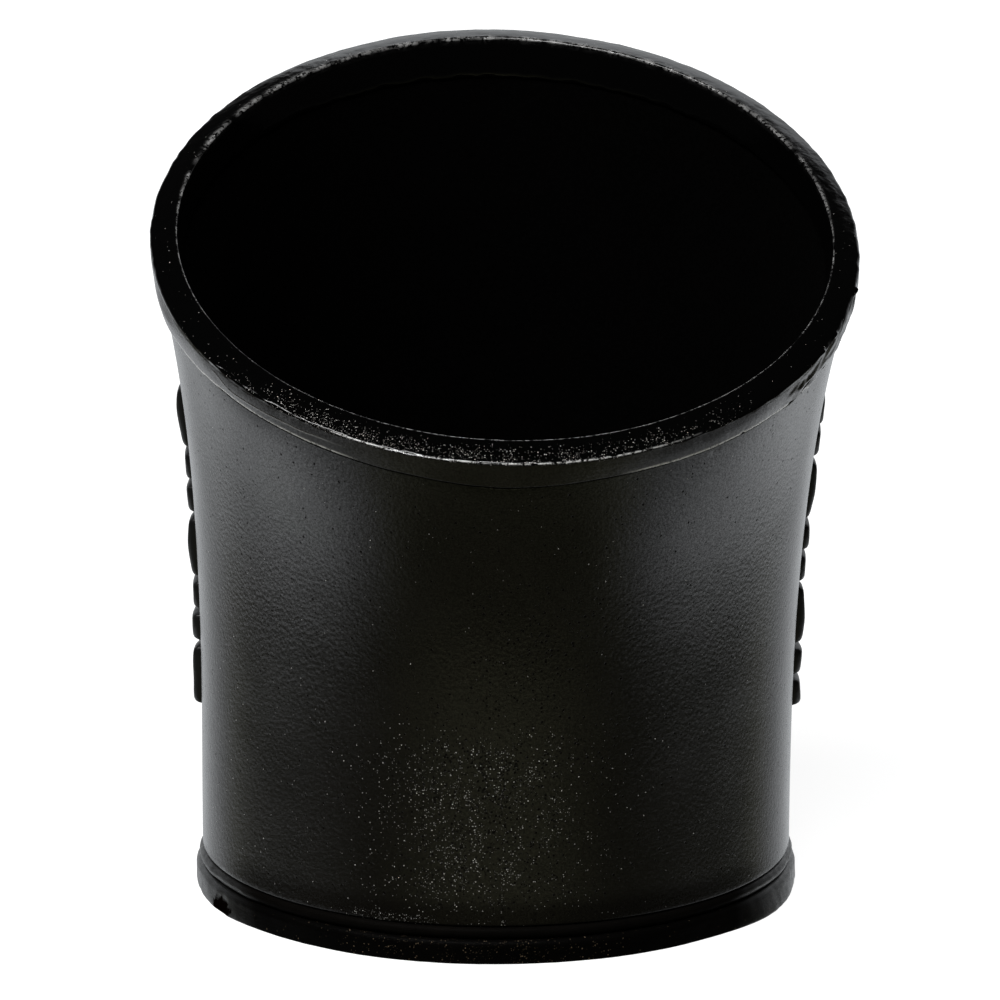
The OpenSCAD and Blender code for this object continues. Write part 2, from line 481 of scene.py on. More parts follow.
def floor_leather(tree):
    """Black leather on the cup's floor, polished and dented where the dice land."""
    spot = place(tree)
    worn_and_highlight = cloud(tree, spot, 7 * MM, 4)
    grain = pebbles(tree, spot, 1.1 * MM)
    dents = dots(tree, spot, 5 * MM, 0.5, 0.3)
    return {
        "Base Color": blend(tree, worn_and_highlight, grey(0.002), grey(0.005, 0.08)),
        "Roughness": fade(tree, worn_and_highlight, 0.3, 0.7, 0.35, 0.55),
        "Normal": bumps(tree, [(grain, -0.03 * MM), (dents, -0.1 * MM)]),
    }


def relief_leather(tree):
    """The raised weave: the same black leather, rubbed paler and smoother along its crests."""
    spot = place(tree)
    patchy = fade(tree, cloud(tree, spot, 3 * MM, 4, 0.7), 0.45, 0.7)
    rubbed = times(tree, fade(tree, value_of(tree, "wear"), 0.75, 1.0), patchy)
    grain = pebbles(tree, spot, 0.7 * MM)
    pores = cloud(tree, spot, 0.4 * MM, 3)
    return {
        "Base Color": blend(tree, rubbed, grey(0.005), grey(0.035, 0.12)),
        "Roughness": fade(tree, rubbed, 0, 1, 0.38, 0.24),
        "Normal": bumps(tree, [(grain, -0.02 * MM), (pores, 0.012 * MM)]),
    }


def painted_side_sheen(tree):
    """1 at the foot's left and right, where a sheen is painted on its edge, and 0 in front and behind."""
    x = add_node(tree, "SeparateXYZ", {"Vector": place(tree)}).outputs["X"]
    return fade(tree, calc(tree, "ABSOLUTE", x), 32 * MM, 41 * MM)


def welt_leather(tree):
    """Cut edge of the welt: dark, with fibres that run round the cup."""
    fibres = cloud(tree, place(tree, (0.35, 0.35, 2.5)), 0.5 * MM, 4, 0.7)
    tone = cloud(tree, place(tree), 5 * MM, 3)
    return {
        "Base Color": blend(tree, tone, grey(0.002, 0.1), grey(0.004, 0.15)),
        "Roughness": fade(tree, fibres, 0.3, 0.7, 0.3, 0.45),
        # Painted sheen: the edge's gloss is raised at the foot's left and right
        "Specular IOR Level": fade(tree, painted_side_sheen(tree), 0, 1, 0.005, 0.5),
        "Normal": bumps(tree, [(fibres, 0.05 * MM)]),
    }


def edge_scuff(tree, spot):
    """1 in the ragged scuff at the left of the sole's edge, which is wider than it is high."""
    x, y, z = sole_edge_point(SCUFF_ANGLE)
    flatness = 2.6
    gap = gap_to(tree, place(tree, (1, 1, flatness)), (x, y, z * flatness))
    gap = calc(tree, "MULTIPLY_ADD", cloud(tree, spot, 1.2 * MM, 4, 0.65), 6 * MM, gap)
    return fade(tree, gap, 6.8 * MM, 5.4 * MM)


def edge_glints(tree, spot):
    """Glints painted as flecks on the sole's edge, gathered at the front."""
    share = times(tree, fade(tree, cloud(tree, spot, 3 * MM, 3), 0.35, 0.6, 0.3), 0.9)
    from_front = gap_to(tree, spot, sole_edge_point(GLINTS_ANGLE))
    share = times(tree, share, fade(tree, from_front, 24 * MM, 8 * MM, 0.1))
    return dots(tree, spot, 0.3 * MM, share, 0.45)


def sole_leather(tree):
    """The sole: a black edge with painted sheen and glints, a scuff at the left, and a matt split
    underside.
    """
    spot = place(tree)
    normal = add_node(tree, "NewGeometry", {}).outputs["Normal"]
    facing = add_node(tree, "SeparateXYZ", {"Vector": normal}).outputs["Z"]
    under = fade(tree, facing, -0.6, -0.95)
    fibres = cloud(tree, place(tree, (0.3, 0.3, 2.5)), 0.5 * MM, 4, 0.7)
    split = cloud(tree, spot, 0.35 * MM, 4, 0.75)
    tone = cloud(tree, spot, 8 * MM, 4)
    scuff = edge_scuff(tree, spot)
    edge = blend(tree, tone, grey(0.001), grey(0.003, 0.12))
    # Painted glints: pale brown flecks on the sole's edge at the front
    edge = blend(tree, edge_glints(tree, spot), edge, (0.16, 0.12, 0.08, 1))
    edge = blend(tree, scuff, edge, blend(tree, split, grey(0.0003), (0.004, 0.002, 0.0015, 1)))
    gloss = fade(tree, under, 0, 1, 0.01, 0.4)
    # Painted sheen: the edge's gloss is raised at the foot's left and right
    gloss = calc(tree, "MAXIMUM", gloss, fade(tree, painted_side_sheen(tree), 0, 1, 0, 0.5))
    gloss = times(tree, gloss, fade(tree, scuff, 0, 1, 1.0, 0.0))
    scrapes = fade(tree, cloud(tree, place(tree, (1, 0.12, 1)), 2 * MM, 4, 0.6), 0.6, 0.75)
    below = blend(tree, tone, grey(0.016, 0.15), grey(0.035, 0.2))
    below = blend(tree, scrapes, below, grey(0.06, 0.12))
    rough = fade(tree, fibres, 0.3, 0.7, 0.28, 0.4)
    rough = calc(tree, "ADD", rough, times(tree, under, 0.4))
    rough = calc(tree, "ADD", rough, times(tree, scuff, 0.3))
    return {
        "Base Color": blend(tree, under, edge, below),
        "Roughness": rough,
        "Specular IOR Level": gloss,
        "Normal": bumps(tree, [(fibres, 0.04 * MM), (split, 0.03 * MM)]),
    }


def board_paper(tree):
    """Grey-brown board: matted paper fibres and darker specks."""
    spot = place(tree)
    fibres = cloud(tree, place(tree, (1, 1, 0.3)), 0.7 * MM, 5, 0.7)
    specks = dots(tree, spot, 1.5 * MM, 0.2, 0.2)
    colour = blend(tree, fibres, (0.2, 0.16, 0.11, 1), (0.36, 0.3, 0.22, 1))
    return {
        "Base Color": blend(tree, specks, colour, (0.1, 0.08, 0.06, 1)),
        "Roughness": fade(tree, fibres, 0.3, 0.7, 0.8, 0.95),
        "Normal": bumps(tree, [(fibres, 0.05 * MM)]),
    }


# ---------------------------------------------------------------- foot
SOLE_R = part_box("sole_disc")[1].x
SOLE_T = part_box("sole_disc")[1].z
WELT_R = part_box("welt_ring")[1].x
WELT_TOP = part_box("welt_ring")[1].z
BOARD_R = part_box("base_board")[1].x
FLOOR_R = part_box("floor_lining")[1].x
FLOOR_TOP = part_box("floor_lining")[1].z
# The radius of the small flat in the middle of each turned disc's underside
AXIS_FLAT = 0.05 * MM
# The middle of the scuff and of the glint flecks painted on the sole's edge, in degrees
SCUFF_ANGLE = 206
GLINTS_ANGLE = 266
# Where the foot's edge has spread: angle, width in degrees, and how far out
SPREADS = [(332, 14, 0.9 * MM), (208, 10, 0.5 * MM)]
# How much closer the foot's edge is trimmed round the back
BACK_TRIM = 0.4 * MM


def foot_trim(points):
    """How far the foot's edge stands in from its full width."""
    turn = np.arctan2(points[..., 1], points[..., 0])
    return BACK_TRIM * smoothstep(np.sin(turn), -0.15, 0.25)


def sole_edge_point(angle):
    """A point low on the sole's edge."""
    turn = math.radians(angle)
    return (SOLE_R * math.cos(turn), SOLE_R * math.sin(turn), SOLE_T * 0.25)


def make_sole():
    """The sole disc: flat underneath, its cut edge rounded above, a little uneven all round."""
    low_r, high_r = 0.12 * MM, 1.0 * MM
    profile = np.concatenate(
        [
            line((AXIS_FLAT, 0), (SOLE_R - low_r, 0), 24),
            arc((SOLE_R - low_r, low_r), low_r, low_r, -90, 0, 3),
            line((SOLE_R, low_r), (SOLE_R, SOLE_T - high_r), 10),
            arc((SOLE_R - high_r, SOLE_T - high_r), high_r, high_r, 0, 90, 10),
            line((SOLE_R - high_r, SOLE_T), (AXIS_FLAT, SOLE_T), 12),
        ]
    )
    points = turned_points(profile, 720)
    rim = smoothstep(np.hypot(points[..., 0], points[..., 1]), SOLE_R - 2.5 * MM, SOLE_R)
    rough = 0.08 * MM * noise(points, 6 * MM, 11) + 0.04 * MM * noise(points, 1.2 * MM, 12)
    dent = np.linalg.norm(points - np.array(sole_edge_point(SCUFF_ANGLE)), axis=-1)
    rough -= 0.15 * MM * smoothstep(dent, 2.4 * MM, 1.2 * MM)
    outward = points * [1, 1, 0] / np.hypot(points[..., 0], points[..., 1])[..., None]
    turn = np.degrees(np.arctan2(points[..., 1], points[..., 0])) % 360
    rough += humps(turn, SPREADS) * smoothstep(points[..., 2], SOLE_T, 0)
    points = points + outward * (rim * (rough - foot_trim(points)))[..., None]
    material = surface("sole_leather", sole_leather)
    add_piece("sole", disc_mesh("sole", points), [material], "sole_disc")


def make_welt():
    """The welt: a thin ring whose half-round edge stands out between the wall and the sole."""
    bead = (WELT_TOP - SOLE_T) / 2
    bead_centre = WELT_R - bead
    profile = np.concatenate(
        [
            line((BOARD_R, SOLE_T), (bead_centre, SOLE_T), 6),
            arc((bead_centre, SOLE_T + bead), bead, bead, -90, 90, 24),
            line((bead_centre, WELT_TOP), (BOARD_R, WELT_TOP), 6),
            line((BOARD_R, WELT_TOP), (BOARD_R, SOLE_T), 2),
        ]
    )
    points = turned_points(profile, 720)
    rim = smoothstep(np.hypot(points[..., 0], points[..., 1]), bead_centre, WELT_R)
    rough = 0.08 * MM * noise(points, 4 * MM, 21) + 0.04 * MM * noise(points, 1 * MM, 22)
    points = displace(points, rim * (rough - foot_trim(points)), closed=True)
    material = surface("welt_leather", welt_leather)
    add_piece("welt", swept_mesh("welt", points, closed=True), [material], "welt_ring")


def make_floor():
    """The leather disc on the cup's floor: slightly crowned, its edge rounded."""
    edge = 0.5 * MM
    crown = 0.25 * MM
    tight_fit = 1.002
    radius = FLOOR_R * tight_fit
    profile = np.concatenate(
        [
            line((AXIS_FLAT, FOOT_Z), (radius, FOOT_Z), 6),
            line((radius, FOOT_Z), (radius, FLOOR_TOP - edge), 3),
            arc((radius - edge, FLOOR_TOP - edge), edge, edge, 0, 90, 8),
            line((radius - edge, FLOOR_TOP), (AXIS_FLAT, FLOOR_TOP), 60),
        ]
    )
    points = turned_points(profile, 360)
    reach = np.hypot(points[..., 0], points[..., 1]) / radius
    top = smoothstep(points[..., 2], FOOT_Z, FLOOR_TOP)
    waves = crown * (1 - reach**2) + 0.08 * MM * noise(points, 9 * MM, 31) * (1 - reach**8)
    points[..., 2] += top * waves
    material = surface("floor_leather", floor_leather)
    mesh = disc_mesh("floor_leather", points)
    add_piece("floor_leather", mesh, [material], "floor_lining")


# ---------------------------------------------------------------- wall
# Round the hem, in degrees: its front middle, and where it has worked loose and frayed, gapes, sags,
# lifts, and has a notch and a kink
FRONT_ANGLE = 268
FRAYED_FROM, FRAYED_TO = 324, 352
GAPE_ANGLE = 326
SAG_ANGLE, SAG_WIDTH = 270, 15
LIFT_ANGLE = 196
NOTCH_ANGLE = 312
KINK_ANGLE = 212
# Where painted glints line the wall's foot, in degrees
FOOT_GLINTS_ANGLE = 250
# Patches of pits: angle and width in degrees, height up the wall and its spread, strength
PIT_PATCHES = [(276, 10, 48 * MM, 9 * MM, 0.6), (270, 18, 27 * MM, 7 * MM, 0.4)]
# Where shade is painted below the hem by dimming the sleeve's gloss: angle, width in degrees and strength
SHADED_PLACES = [(222, 13, 0.8), (315, 12, 0.4)]
# Small nicks in the outer leather: angle, height up the wall, length and slant
NICKS = [
    (307.0, WALL_H - HEM_H - 1.7 * MM, 1.1 * MM, 50),
    (60.0, 74.0 * MM, 1.6 * MM, 15),
    (128.0, 12.0 * MM, 2.0 * MM, -35),
]


def frayed_share(turn):
    """1 along the frayed stretch of the hem and 0 elsewhere."""
    return span(turn, FRAYED_FROM - 4, FRAYED_FROM + 2, FRAYED_TO, FRAYED_TO + 5)


def hem_reach(turn):
    """How far below the mouth the hem's cut edge is at each angle."""
    ring = wall_point(turn, WALL_H, 0.0)
    wander = 0.14 * MM * noise(ring, 9 * MM, 61) + 0.05 * MM * noise(ring, 2 * MM, 62)
    ragged = 0.45 * MM * noise(ring, 2.2 * MM, 63) + 0.4 * MM * noise(ring, 0.9 * MM, 64)
    notch = 0.5 * MM * bell(turn, NOTCH_ANGLE, 0.35)
    kink = 0.25 * MM * span(turn, KINK_ANGLE - 0.6, KINK_ANGLE + 0.2, KINK_ANGLE + 13, KINK_ANGLE + 38)
    sag = 1.2 * MM * bell(turn, SAG_ANGLE, SAG_WIDTH)
    return HEM_H + wander + sag + frayed_share(turn) * ragged - notch - kink


def nick_depth(angles, ups):
    """Depth of the nicks over a grid of angles and heights."""
    total = np.zeros(np.broadcast(angles, ups).shape)
    for angle, up, length, slant in NICKS:
        across = np.radians(angles - angle) * WALL_R
        rise = ups - up
        turn = math.radians(slant)
        along = across * math.cos(turn) + rise * math.sin(turn)
        beside = rise * math.cos(turn) - across * math.sin(turn)
        total += 0.2 * MM * bell(along, 0, length / 2) * bell(beside, 0, 0.35 * MM)
    return total


def sleeve_marks(turn, up, below_hem):
    """Shares from 0 of the sleeve's painted glints, painted groove shade, painted gloss shade and pits."""
    # Glints are painted low on the front, along the seam and along the foot
    front = bell(turn, SEAM_ANGLE - 5, 16)
    low = smoothstep(up, 36 * MM, 22 * MM) * smoothstep(up, -4 * MM, 13 * MM)
    seam = bell(turn, SEAM_ANGLE, 0.35) * smoothstep(up, 26 * MM, 14 * MM)
    foot = bell(up, 0.7 * MM, 0.4 * MM) * bell(turn, FOOT_GLINTS_ANGLE, 8)
    painted_glint_share = 0.02 + 1.0 * front * low + 1.8 * seam + 4.0 * foot
    # Painted shade in the groove below the hem
    painted_groove_shade = bell(below_hem, 0.22 * MM, 0.25 * MM) * bell(turn, FRONT_ANGLE, 30)
    # Painted shade: gloss dimmed at the foot in front and below the hem
    painted_gloss_shade = smoothstep(up, 6 * MM, 1 * MM) * smoothstep(-np.sin(np.radians(turn)), 0.3, 0.6)
    painted_gloss_shade += bell(below_hem, 0, 4 * MM) * humps(turn, SHADED_PLACES)
    pitted = 0.04
    for angle, width, height, spread, strength in PIT_PATCHES:
        pitted = pitted + strength * bell(turn, angle, width) * bell(up, height, spread)
    return {"painted_glint_share": painted_glint_share, "painted_groove_shade": painted_groove_shade, "painted_gloss_shade": painted_gloss_shade, "pitted": pitted}


def make_sleeve():
    """The outer leather: butted at the front, rounded at its foot, with a groove pressed below the hem."""
    edge = 0.4 * MM
    top = WALL_H - RIM_T
    hem = WALL_H - HEM_H
    groove_room = 1.8 * MM
    profile = np.concatenate(
        [
            arc((-edge, edge), edge, edge, -90, 0, 6),
            line((0, edge), (0, hem - groove_room), 140),
            line((0, hem - groove_room), (0, hem + groove_room), 40),
            line((0, hem + groove_room), (0, top), 4),
            line((0, top), (-SLEEVE_T, top), 2),
            line((-SLEEVE_T, top), (-SLEEVE_T, 0), 12),
            line((-SLEEVE_T, 0), (-edge, 0), 2),
        ]
    )
    angles = seam_columns(450, 0.01 * MM)[:, None]
    turn = angles % 360
    out, up = profile[None, :, 0], profile[None, :, 1]
    points = wall_point(angles, up, out)
    face = smoothstep(out, -edge, 0)
    below_hem = WALL_H - hem_reach(turn) - up
    waves = 0.05 * MM * noise(points, 17 * MM, 41) + 0.012 * MM * noise(points, 5 * MM, 42)
    gape = bell(turn, GAPE_ANGLE, 1.6)
    groove = (0.3 * MM + 0.4 * MM * gape) * bell(below_hem, 0.2 * MM, 0.25 * MM + 0.2 * MM * gape)
    amount = waves * smoothstep(below_hem, 0, 1 * MM) - groove - nick_depth(turn, up)
    amount -= rounded_end(seam_distance(angles), 0.02 * MM)
    points = displace(points, face * amount, closed=False)

    mesh = swept_mesh("sleeve", points, closed=False, **sleeve_marks(turn, up, below_hem))
    material = surface("sleeve_leather", sleeve_leather)
    add_piece("sleeve", mesh, [material], "outer_sleeve")


def make_lining():
    """The suede lining: a plain tube inside the board, a little uneven on the face that shows."""
    top = WALL_H - RIM_T
    profile = np.concatenate(
        [
            line((-LINING_DEPTH, 0), (-LINING_DEPTH, top), 12),
            line((-LINING_DEPTH, top), (-CAVITY_DEPTH, top), 2),
            line((-CAVITY_DEPTH, top), (-CAVITY_DEPTH, 0), 90),
            line((-CAVITY_DEPTH, 0), (-LINING_DEPTH, 0), 2),
        ]
    )
    angles = np.linspace(0, 360, 420, endpoint=False)[:, None]
    out, up = profile[None, :, 0], profile[None, :, 1]
    points = wall_point(angles, up, out)
    shown = smoothstep(out, -LINING_DEPTH, -CAVITY_DEPTH) * smoothstep(up, top, top - 6 * MM)
    waves = 0.18 * MM * noise(points, 14 * MM, 51) + 0.05 * MM * noise(points, 4 * MM, 52)
    points = displace(points, shown * waves, closed=True)
    material = surface("lining_suede", lining_suede)
    mesh = swept_mesh("lining", points, closed=True)
    add_piece("lining", mesh, [material], "lining_sleeve")


# ---------------------------------------------------------------- edge binding
CORNER_R = 0.45 * MM
INNER_CORNER_R = 0.28 * MM
# Where a second fold shows in the hem, and how far down the hem it runs at each end
FOLD_FROM, FOLD_TO = 216, 240
FOLD_HIGH, FOLD_LOW = 0.66, 0.48
# Tips of torn leather that stand out along the rim's outer corner: angle, width in degrees, height
TIPS = [(216.5, 1.4, 0.25 * MM), (332.0, 0.7, 0.45 * MM), (337.0, 0.6, 0.4 * MM), (349.0, 0.8, 0.5 * MM)]
# Where glint specks are painted on the rim, and where painted shade dims the hem: angle, width in degrees,
# strength
GLINT_PLACES = [(240, 13, 1.6), (266, 15, 1.44), (292, 15, 0.8)]
HEM_SHADE_PLACES = [(226, 20, 1.0), (308, 17, 1.0)]
# Where the rim's outer corner and the hem's cut edge get painted highlights: start, full, fading and end
# angles
CORNER_HIGHLIGHT = (239, 244, 288, 305)
LEFT_HEM_HIGHLIGHT = (194, 202, 240, 247)
RIGHT_HEM_HIGHLIGHT_FROM = 288


def binding_profile():
    """The binding's section as [out, up], up from the mouth: hem, corner, rim, corner, lip, back."""
    inside = -CAVITY_DEPTH - LIP_T
    return np.concatenate(
        [
            arc((0, -HEM_H + 0.3 * MM), HEM_T, 0.3 * MM, -90, 0, 7),
            line((HEM_T, -HEM_H + 0.3 * MM), (HEM_T, -CORNER_R), 34),
            arc((HEM_T - CORNER_R, -CORNER_R), CORNER_R, CORNER_R, 0, 90, 8),
            line((HEM_T - CORNER_R, 0), (inside + INNER_CORNER_R, 0), 20),
            arc((inside + INNER_CORNER_R, -INNER_CORNER_R), INNER_CORNER_R, INNER_CORNER_R, 90, 180, 6),
            line((inside, -INNER_CORNER_R), (inside, -LIP_H + 0.15 * MM), 8),
            arc((-CAVITY_DEPTH, -LIP_H + 0.15 * MM), LIP_T, 0.15 * MM, 180, 270, 3),
            line((-CAVITY_DEPTH, -LIP_H), (-CAVITY_DEPTH, -RIM_T), 3),
            line((-CAVITY_DEPTH, -RIM_T), (0, -RIM_T), 3),
            line((0, -RIM_T), (0, -HEM_H), 6),
        ]
    )


def fold_course(turn, ring):
    """How far down the hem its second fold runs at each angle, and how much of the fold is there."""
    stretch = np.clip((turn - FOLD_FROM) / (FOLD_TO - FOLD_FROM), 0, 1)
    course = FOLD_HIGH + (FOLD_LOW - FOLD_HIGH) * stretch - 0.3 * bell(turn, FOLD_FROM, 2.5)
    present = span(turn, FOLD_FROM - 1, FOLD_FROM + 2, FOLD_TO - 3, FOLD_TO + 5)
    return course + 0.03 * noise(ring, 3 * MM, 66), present


def hem_wrinkles(ring, down):
    """Wrinkles that run along the hem, between -1 and 1."""
    return noise(ring * [0.4, 0.4, 1] + down[..., None] * [0, 0, 4 * MM], 0.8 * MM, 68)


def hem_slit(turn, down):
    """1 in the slit where the hem's edge has torn, and 0 elsewhere."""
    return bell(turn, GAPE_ANGLE - 1, 1.6) * bell(down, 0.92, 0.06)


def hem_shape(turn, ring, down, face):
    """How far the hem's face stands out or in: its bulge, fold, wrinkles, slit and lifted stretches."""
    bulge = 0.17 * MM * np.sin(np.pi * down) * (1 - 0.8 * bell(turn, FRONT_ANGLE, 28))
    course, present = fold_course(turn, ring)
    ridge = 0.10 * MM * bell(down, course, 0.05)
    step = 0.08 * MM * smoothstep(down, course - 0.03, course + 0.03)
    left_lift = 0.35 * MM * bell(turn, LIFT_ANGLE, 7) * smoothstep(down, 0.1, 0.6)
    wrinkles = 0.2 * MM * hem_wrinkles(ring, down) + 0.15 * MM * bell(down, 0.55, 0.12)
    lifted = left_lift + frayed_share(turn) * wrinkles - 0.35 * MM * hem_slit(turn, down)
    return face * (bulge + present * (ridge - step) + lifted + 0.04 * MM * noise(ring, 3 * MM, 67))


def binding_wear(turn, ring, out, up):
    """Where pale highlights are painted on the binding: its corners, the hem's cut edge and the hem's
    fold.
    """
    corner = bell(out - up, HEM_T - 0.1 * MM, 0.11 * MM) * smoothstep(up, -CORNER_R, -CORNER_R * 0.7)
    gap = 1 - 0.8 * bell(turn, FRONT_ANGLE, 1.3)
    corner = corner * span(turn, *CORNER_HIGHLIGHT) * gap
    back = smoothstep(np.sin(np.radians(turn)), 0.0, 0.5)
    inner_edge = -CAVITY_DEPTH - LIP_T + 0.10 * MM
    inner = bell(out, inner_edge, 0.07 * MM + 0.4 * MM * back) * smoothstep(up, -0.3 * MM, -0.15 * MM)
    middle = bell(turn, 272, 28)
    inner = inner * (0.35 + 0.45 * middle) * (0.6 + 0.4 * middle + 0.9 * noise(ring, 1.5 * MM, 73))
    hem_line = bell(up, -HEM_H + 0.38 * MM, 0.28 * MM) * smoothstep(out, 0, HEM_T * 0.5)
    sides = span(turn, *LEFT_HEM_HIGHLIGHT) + smoothstep(turn, RIGHT_HEM_HIGHLIGHT_FROM, RIGHT_HEM_HIGHLIGHT_FROM + 8)
    hem_line = hem_line * sides * (1.0 + 0.5 * noise(ring, 4 * MM, 72))
    course, present = fold_course(turn, ring)
    fold = 0.4 * present * bell(-up / HEM_H, course, 0.03) * smoothstep(out, 0, HEM_T * 0.5)
    return np.clip(np.max(np.broadcast_arrays(corner, inner, hem_line, fold), axis=0), 0, 1)


def binding_marks(turn, ring, out, up, across, down):
    """Where the binding has painted highlights, painted glint specks, tears and painted gloss shade, as
    shares from 0.
    """
    on_rim = smoothstep(up, -0.6 * MM, -0.2 * MM)
    frayed = frayed_share(turn) * smoothstep(hem_wrinkles(ring, down), 0.1, -0.5)
    return {
        # Pale highlights painted along the corners, the hem's cut edge and the fold
        "wear": binding_wear(turn, ring, out, up),
        # Glints painted as pale specks on the rim
        "painted_glint_share": (0.02 + humps(turn, GLINT_PLACES) * smoothstep(across, 0.85, 0.2)) * on_rim,
        "torn": hem_slit(turn, down) + 0.8 * frayed,
        # Painted shade: the upper hem's gloss dimmed at the sides
        "painted_hem_shade": humps(turn, HEM_SHADE_PLACES) * smoothstep(down, 0.85, 0.25),
    }


def rim_relief(points, across, flat_up):
    """How far the rim stands out: slightly crowned, and rough as its paint dried."""
    rough = 0.02 * MM * noise(points, 1.3 * MM, 69) + 0.012 * MM * noise(points, 0.6 * MM, 70)
    rough += 0.08 * MM * np.sin(np.pi * across) + 0.10 * MM * noise(points, 12 * MM, 71)
    return rough * smoothstep(flat_up, -0.25 * MM, -0.02 * MM)


def paint_rim(mesh, profile, columns):
    """Gives the faces of the rim, its corners and the lip the binding's second material."""
    on_rim = (profile[:, 1] > -CORNER_R * 0.98) & (profile[:, 0] < HEM_T)
    painted = on_rim | (profile[:, 0] < -CAVITY_DEPTH)
    flags = np.zeros(len(mesh.polygons), np.int32)
    flags[: (columns - 1) * len(profile)] = np.tile(painted & np.roll(painted, -1), columns - 1)
    mesh.polygons.foreach_set("material_index", flags)


def make_binding():
    """The strip over the wall's edge: a hem with folds, tears and a frayed stretch, and a painted rim."""
    profile = binding_profile()
    angles = seam_columns(1000, 0.02 * MM)[:, None]
    turn = angles % 360
    flat_out, flat_up = profile[None, :, 0], profile[None, :, 1]
    ring = wall_point(turn, WALL_H, 0.0)
    on_hem = smoothstep(flat_out, -0.5 * MM, 0)
    down = np.clip(-flat_up / HEM_H, 0, 1)
    up = flat_up * (1 + on_hem * down * (hem_reach(turn) / HEM_H - 1))
    lift = frayed_share(turn) * 0.18 * MM * (0.6 + 0.6 * noise(ring, 3 * MM, 65))
    out = flat_out + on_hem * lift * smoothstep(down, 0.45, 1.0)
    points = wall_point(turn, WALL_H + up, out)

    across = np.clip((HEM_T - flat_out) / (HEM_T + CAVITY_DEPTH + LIP_T), 0, 1)
    face = smoothstep(flat_out, 0, HEM_T) * smoothstep(flat_up, -0.2 * MM, -1.0 * MM)
    amount = rim_relief(points, across, flat_up) + hem_shape(turn, ring, down, face)
    corner = bell(flat_out - flat_up, HEM_T, 0.35 * MM)
    amount += corner * (0.12 * MM * noise(ring, 1.5 * MM, 74) + humps(turn, TIPS))
    amount -= rounded_end(seam_distance(turn), 0.04 * MM)
    shown = (flat_out > 0.02 * MM) | (flat_up > -RIM_T * 0.9) | (flat_out < -CAVITY_DEPTH - 0.1 * MM)
    points = displace(points, np.where(shown, amount, 0), closed=False)

    marks = binding_marks(turn, ring, flat_out, flat_up, across, down)
    mesh = swept_mesh("binding", points, closed=False, **marks)
    leather = surface("binding_leather", binding_leather)
    paint = surface("edge_paint", edge_paint)
    add_piece("binding", mesh, [leather, paint], "edge_binding")
    paint_rim(mesh, profile, len(angles))


# ---------------------------------------------------------------- relief
def bar_points(angle, up, half_angle, half_up, upright, seed):
    """One woven bar as a domed grid, highest in its middle and lower towards its ends."""
    long_count, short_count = 26, 16
    along = np.sin(np.linspace(-1, 1, long_count) * np.pi / 2)[:, None]
    beside = np.sin(np.linspace(-1, 1, short_count) * np.pi / 2)[None, :]
    bow = 0.22
    long_place = along * np.sqrt(1 - bow * beside**2 / 2)
    short_place = beside * np.sqrt(1 - bow * along**2 / 2)
    dome = np.sqrt(1 - beside**8) * np.sqrt(1 - along**14)
    arch = 0.8 + 0.2 * np.cos(along * np.pi / 2)
    rise = dome * arch
    if upright:
        turn = angle + short_place * half_angle
        height = up + long_place * half_up
    else:
        turn = angle + long_place * half_angle
        height = up + short_place * half_up
    uneven = 1 + 0.15 * noise(wall_point(turn, height, 0.0), 4 * MM, seed)
    out = -0.06 * MM + (BAR_H + 0.06 * MM) * rise * uneven
    return wall_point(turn, height, out), rise


def bar_faces(long_count, short_count, start, upright):
    """Faces of one bar: its dome and the flat face it is glued by."""
    index = start + np.arange(long_count * short_count).reshape(long_count, short_count)
    quads = np.stack([index[:-1, :-1], index[1:, :-1], index[1:, 1:], index[:-1, 1:]], axis=-1)
    rim = np.concatenate([index[0, :-1], index[:-1, -1], index[-1, :0:-1], index[:0:-1, 0]])
    quads = quads.reshape(-1, 4)
    if upright:
        quads = quads[:, ::-1]
        rim = rim[::-1]
    return quads.tolist() + [rim.tolist()]


def make_relief():
    """The basket weave round the back: cells of two bars, level and upright by turns."""
    cell_angle = (180 - 2 * WEAVE_MARGIN) / WEAVE_COLUMNS
    half_gap_angle = math.degrees(BAR_GAP / WALL_R) / 2
    grids, rises, faces = [], [], []
    start = 0
    for row, column, side in itertools.product(range(WEAVE_ROWS), range(WEAVE_COLUMNS), (-1, 1)):
        upright = (row + column) % 2
        angle = WEAVE_MARGIN + cell_angle * (column + 0.5) + upright * side * cell_angle / 4
        up = WEAVE_LOW - FOOT_Z + CELL_H * (row + 0.5) + (1 - upright) * side * CELL_H / 4
        half_angle = cell_angle / (2 + 2 * upright) - half_gap_angle
        half_up = CELL_H / (4 - 2 * upright) - BAR_GAP / 2
        points, rise = bar_points(angle, up, half_angle, half_up, upright, 80 + side)
        faces += bar_faces(*points.shape[:2], start, upright)
        grids.append(points.reshape(-1, 3))
        rises.append(rise.ravel())
        start += rise.size
    mesh = make_mesh("relief", np.concatenate(grids), faces, wear=np.concatenate(rises))
    add_piece("relief", mesh, [surface("relief_leather", relief_leather)], "relief_bars")


# ---------------------------------------------------------------- boards inside
def finish_boards():
    """Gives the two board pieces, which stay as CAD nodes, their paper material."""
    board = surface("board_paper", board_paper)
    for name in ("wall_core", "base_board"):
        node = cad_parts[name]
        if not node.material_slots:
            node.data.materials.append(board)
        for material_slot in node.material_slots:
            material_slot.material = board


# ---------------------------------------------------------------- studio
KEY_STRENGTH = 15.0
WARM = (1, 1, 0.62, 1)
WHITE = (1, 1, 1, 1)
COOL = (0.94, 0.97, 1, 1)
CAMERA_DISTANCE = 1.2
LENS = 304.6
CAMERA_RISE = math.radians(15)
CAMERA_TARGET = Vector((0.6 * MM, 0, 55.2 * MM))


